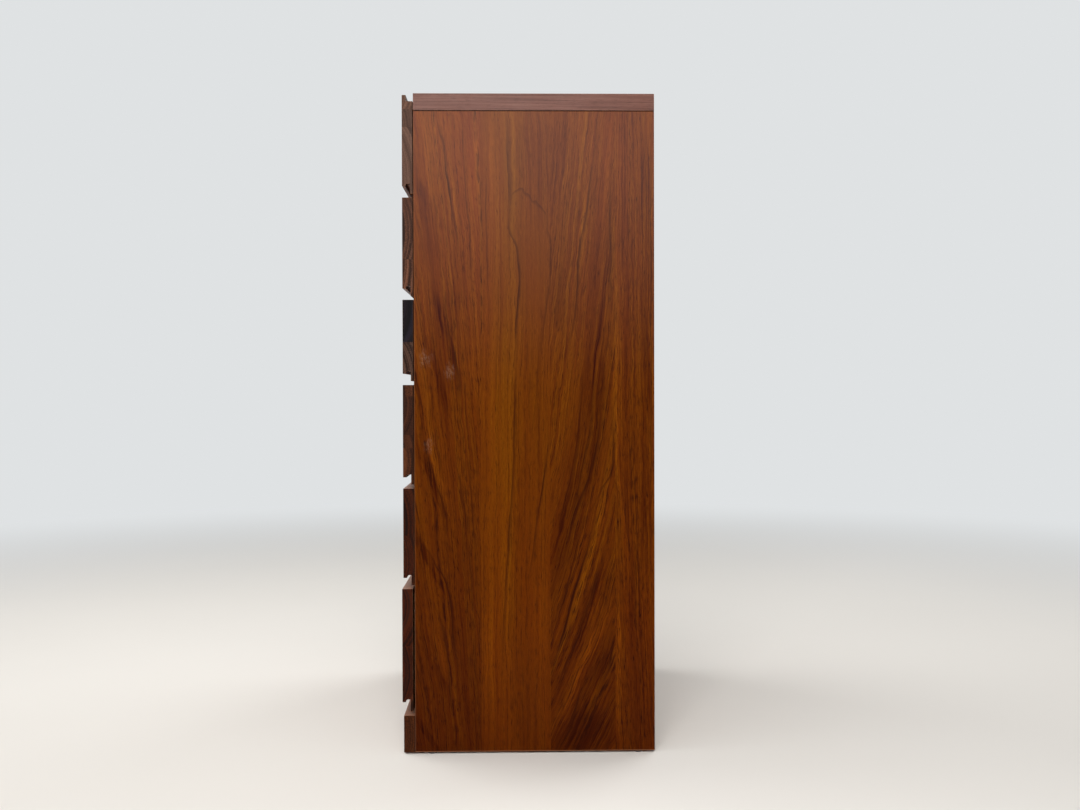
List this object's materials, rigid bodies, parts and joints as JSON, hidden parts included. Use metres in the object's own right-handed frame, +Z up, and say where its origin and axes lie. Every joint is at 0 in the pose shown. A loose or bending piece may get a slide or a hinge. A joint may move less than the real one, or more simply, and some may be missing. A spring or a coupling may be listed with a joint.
{
  "type": "tall chest of drawers",
  "caption": "Tall narrow walnut chest with overlay drawers on telescopic slides, finger grooves under the fronts and a low plinth rail, for storing clothes.",
  "frame": {"origin": "on the floor under the middle of the outline at rest", "axes": "+Z up, drawers open towards -Y, +X to the right-hand side panel"},
  "size_m": [0.6, 0.4524, 1.18],
  "materials": {
    "walnut_veneer": "satin lacquered walnut veneer",
    "walnut_solid": "satin lacquered solid walnut",
    "carcase_wood": "plain sealed board",
    "back_ply": "plain sealed plywood",
    "drawer_wood": "plain sanded pale wood",
    "drawer_ply": "plain plywood",
    "slide_steel": "zinc plated",
    "screw_steel": "zinc plated",
    "bumper_plastic": "soft matt",
    "glide_plastic": "matt"
  },
  "bodies": {
    "carcase": {"side_panel_left": "walnut_veneer", "side_panel_right": "walnut_veneer", "top_panel": "walnut_veneer", "bottom_panel": "carcase_wood", "back_panel": "back_ply", "plinth_front": "walnut_solid", "plinth_rear": "carcase_wood", "front_rails": "carcase_wood", "glides": "glide_plastic", "bumpers": "bumper_plastic", "slide_cabinet_rails": "slide_steel", "carcase_screws": "screw_steel"},
    "drawer_1": {"drawer_1_front": "walnut_solid", "drawer_1_side_left": "drawer_wood", "drawer_1_side_right": "drawer_wood", "drawer_1_back": "drawer_wood", "drawer_1_bottom": "drawer_ply", "drawer_1_slide_rails": "slide_steel", "drawer_1_screws": "screw_steel"},
    "slide_1_middle": {"slide_1_middle_rails": "slide_steel"},
    "drawer_2": {"drawer_2_front": "walnut_solid", "drawer_2_side_left": "drawer_wood", "drawer_2_side_right": "drawer_wood", "drawer_2_back": "drawer_wood", "drawer_2_bottom": "drawer_ply", "drawer_2_slide_rails": "slide_steel", "drawer_2_screws": "screw_steel"},
    "slide_2_middle": {"slide_2_middle_rails": "slide_steel"},
    "drawer_3": {"drawer_3_front": "walnut_solid", "drawer_3_side_left": "drawer_wood", "drawer_3_side_right": "drawer_wood", "drawer_3_back": "drawer_wood", "drawer_3_bottom": "drawer_ply", "drawer_3_slide_rails": "slide_steel", "drawer_3_screws": "screw_steel"},
    "slide_3_middle": {"slide_3_middle_rails": "slide_steel"},
    "drawer_4": {"drawer_4_front": "walnut_solid", "drawer_4_side_left": "drawer_wood", "drawer_4_side_right": "drawer_wood", "drawer_4_back": "drawer_wood", "drawer_4_bottom": "drawer_ply", "drawer_4_slide_rails": "slide_steel", "drawer_4_screws": "screw_steel"},
    "slide_4_middle": {"slide_4_middle_rails": "slide_steel"},
    "drawer_5": {"drawer_5_front": "walnut_solid", "drawer_5_side_left": "drawer_wood", "drawer_5_side_right": "drawer_wood", "drawer_5_back": "drawer_wood", "drawer_5_bottom": "drawer_ply", "drawer_5_slide_rails": "slide_steel", "drawer_5_screws": "screw_steel"},
    "slide_5_middle": {"slide_5_middle_rails": "slide_steel"},
    "drawer_6": {"drawer_6_front": "walnut_solid", "drawer_6_side_left": "drawer_wood", "drawer_6_side_right": "drawer_wood", "drawer_6_back": "drawer_wood", "drawer_6_bottom": "drawer_ply", "drawer_6_slide_rails": "slide_steel", "drawer_6_screws": "screw_steel"},
    "slide_6_middle": {"slide_6_middle_rails": "slide_steel"}
  },
  "joints": [
    {"name": "drawer_1_slide", "type": "slide", "parent": "carcase", "child": "drawer_1", "axis": [0, -1, 0], "range_m": [0, 0.38]},
    {"name": "slide_1_middle_slide", "type": "slide", "parent": "carcase", "child": "slide_1_middle", "axis": [0, -1, 0], "range_m": [0, 0.19]},
    {"name": "drawer_2_slide", "type": "slide", "parent": "carcase", "child": "drawer_2", "axis": [0, -1, 0], "range_m": [0, 0.38]},
    {"name": "slide_2_middle_slide", "type": "slide", "parent": "carcase", "child": "slide_2_middle", "axis": [0, -1, 0], "range_m": [0, 0.19]},
    {"name": "drawer_3_slide", "type": "slide", "parent": "carcase", "child": "drawer_3", "axis": [0, -1, 0], "range_m": [0, 0.38]},
    {"name": "slide_3_middle_slide", "type": "slide", "parent": "carcase", "child": "slide_3_middle", "axis": [0, -1, 0], "range_m": [0, 0.19]},
    {"name": "drawer_4_slide", "type": "slide", "parent": "carcase", "child": "drawer_4", "axis": [0, -1, 0], "range_m": [0, 0.38]},
    {"name": "slide_4_middle_slide", "type": "slide", "parent": "carcase", "child": "slide_4_middle", "axis": [0, -1, 0], "range_m": [0, 0.19]},
    {"name": "drawer_5_slide", "type": "slide", "parent": "carcase", "child": "drawer_5", "axis": [0, -1, 0], "range_m": [0, 0.38]},
    {"name": "slide_5_middle_slide", "type": "slide", "parent": "carcase", "child": "slide_5_middle", "axis": [0, -1, 0], "range_m": [0, 0.19]},
    {"name": "drawer_6_slide", "type": "slide", "parent": "carcase", "child": "drawer_6", "axis": [0, -1, 0], "range_m": [-0.0025, 0.3775]},
    {"name": "slide_6_middle_slide", "type": "slide", "parent": "carcase", "child": "slide_6_middle", "axis": [0, -1, 0], "range_m": [-0.00125, 0.18875]}
  ],
  "couplings": [
    {"joint": "slide_1_middle_slide", "follows": "drawer_1_slide", "ratio": 0.5},
    {"joint": "slide_2_middle_slide", "follows": "drawer_2_slide", "ratio": 0.5},
    {"joint": "slide_3_middle_slide", "follows": "drawer_3_slide", "ratio": 0.5},
    {"joint": "slide_4_middle_slide", "follows": "drawer_4_slide", "ratio": 0.5},
    {"joint": "slide_5_middle_slide", "follows": "drawer_5_slide", "ratio": 0.5},
    {"joint": "slide_6_middle_slide", "follows": "drawer_6_slide", "ratio": 0.5}
  ]
}
